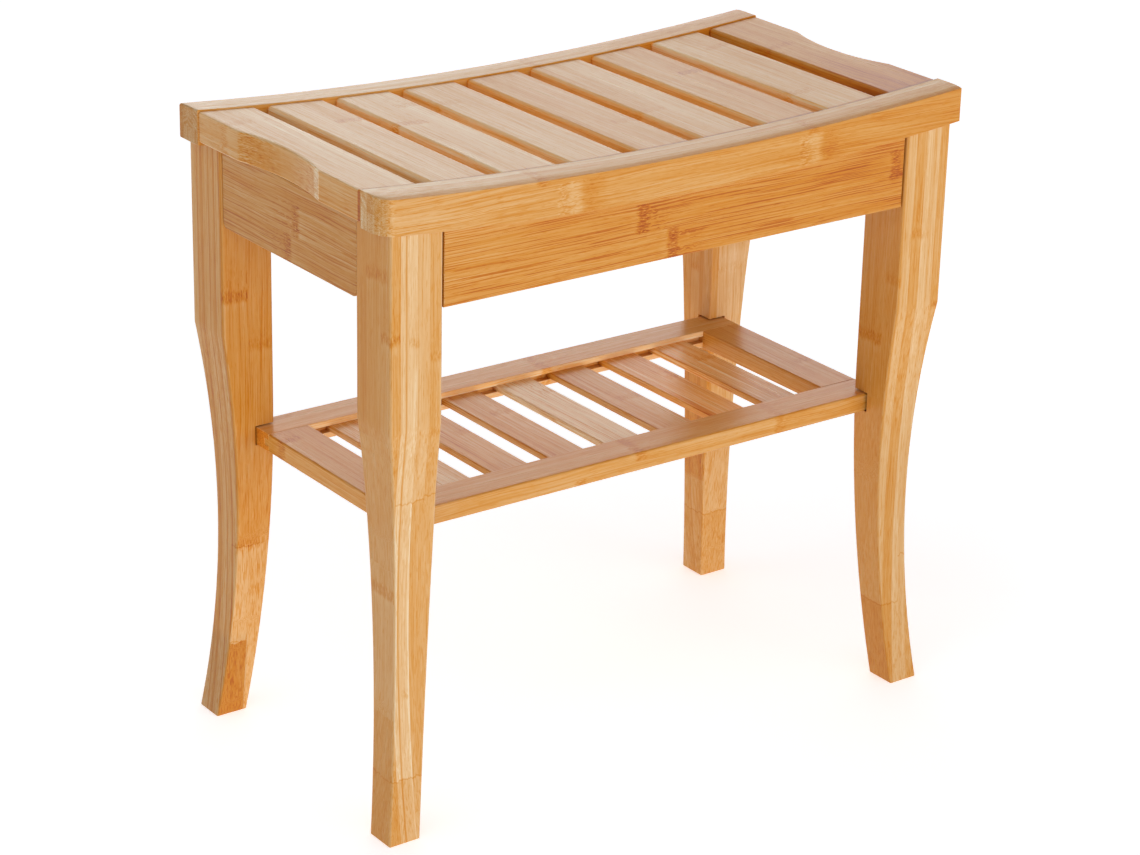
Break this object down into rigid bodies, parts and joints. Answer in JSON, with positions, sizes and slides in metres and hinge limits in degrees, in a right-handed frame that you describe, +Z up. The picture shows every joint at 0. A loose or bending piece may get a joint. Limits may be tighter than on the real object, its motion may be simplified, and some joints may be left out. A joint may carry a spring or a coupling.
{
  "type": "slatted entryway bench",
  "caption": "Small bench with a dished slatted seat, hand grips in the end slats, four sabre legs and a slatted lower shelf for shoes.",
  "frame": {"origin": "on the floor under the middle of the bench", "axes": "+Z up, +X along the bench's length, -Y towards its front"},
  "size_m": [0.5, 0.2646, 0.475],
  "materials": {
    "bamboo_seat": "clear satin lacquer, laminated bamboo, pale",
    "bamboo_frame": "clear satin lacquer, laminated bamboo, honey",
    "bamboo_leg": "clear satin lacquer, laminated bamboo in upright strips",
    "bamboo_shelf": "clear satin lacquer, laminated bamboo",
    "bamboo_brace": "laminated bamboo, unlacquered inside",
    "dowel_wood": "plain",
    "steel": "zinc plated",
    "brass": "machined"
  },
  "bodies": {
    "root": {"front_seat_rail": "bamboo_frame", "back_seat_rail": "bamboo_frame", "seat_slat_1": "bamboo_seat", "seat_slat_2": "bamboo_seat", "seat_slat_3": "bamboo_seat", "seat_slat_4": "bamboo_seat", "seat_slat_5": "bamboo_seat", "seat_slat_6": "bamboo_seat", "seat_slat_7": "bamboo_seat", "seat_slat_8": "bamboo_seat", "seat_slat_9": "bamboo_seat", "seat_slat_dowels": "dowel_wood", "front_apron": "bamboo_frame", "back_apron": "bamboo_frame", "left_apron": "bamboo_frame", "right_apron": "bamboo_frame", "apron_dowels": "dowel_wood", "brace_front_left": "bamboo_brace", "brace_front_right": "bamboo_brace", "brace_back_left": "bamboo_brace", "brace_back_right": "bamboo_brace", "brace_screws": "steel", "leg_front_left": "bamboo_leg", "leg_front_right": "bamboo_leg", "leg_back_left": "bamboo_leg", "leg_back_right": "bamboo_leg", "leg_inserts": "brass", "leg_bolts": "steel", "bolt_washers": "steel", "shelf_front_rail": "bamboo_shelf", "shelf_back_rail": "bamboo_shelf", "shelf_left_rail": "bamboo_shelf", "shelf_right_rail": "bamboo_shelf", "shelf_slat_1": "bamboo_shelf", "shelf_slat_2": "bamboo_shelf", "shelf_slat_3": "bamboo_shelf", "shelf_slat_4": "bamboo_shelf", "shelf_slat_5": "bamboo_shelf", "shelf_slat_6": "bamboo_shelf", "shelf_slat_7": "bamboo_shelf", "shelf_dowels": "dowel_wood"}
  },
  "joints": []
}
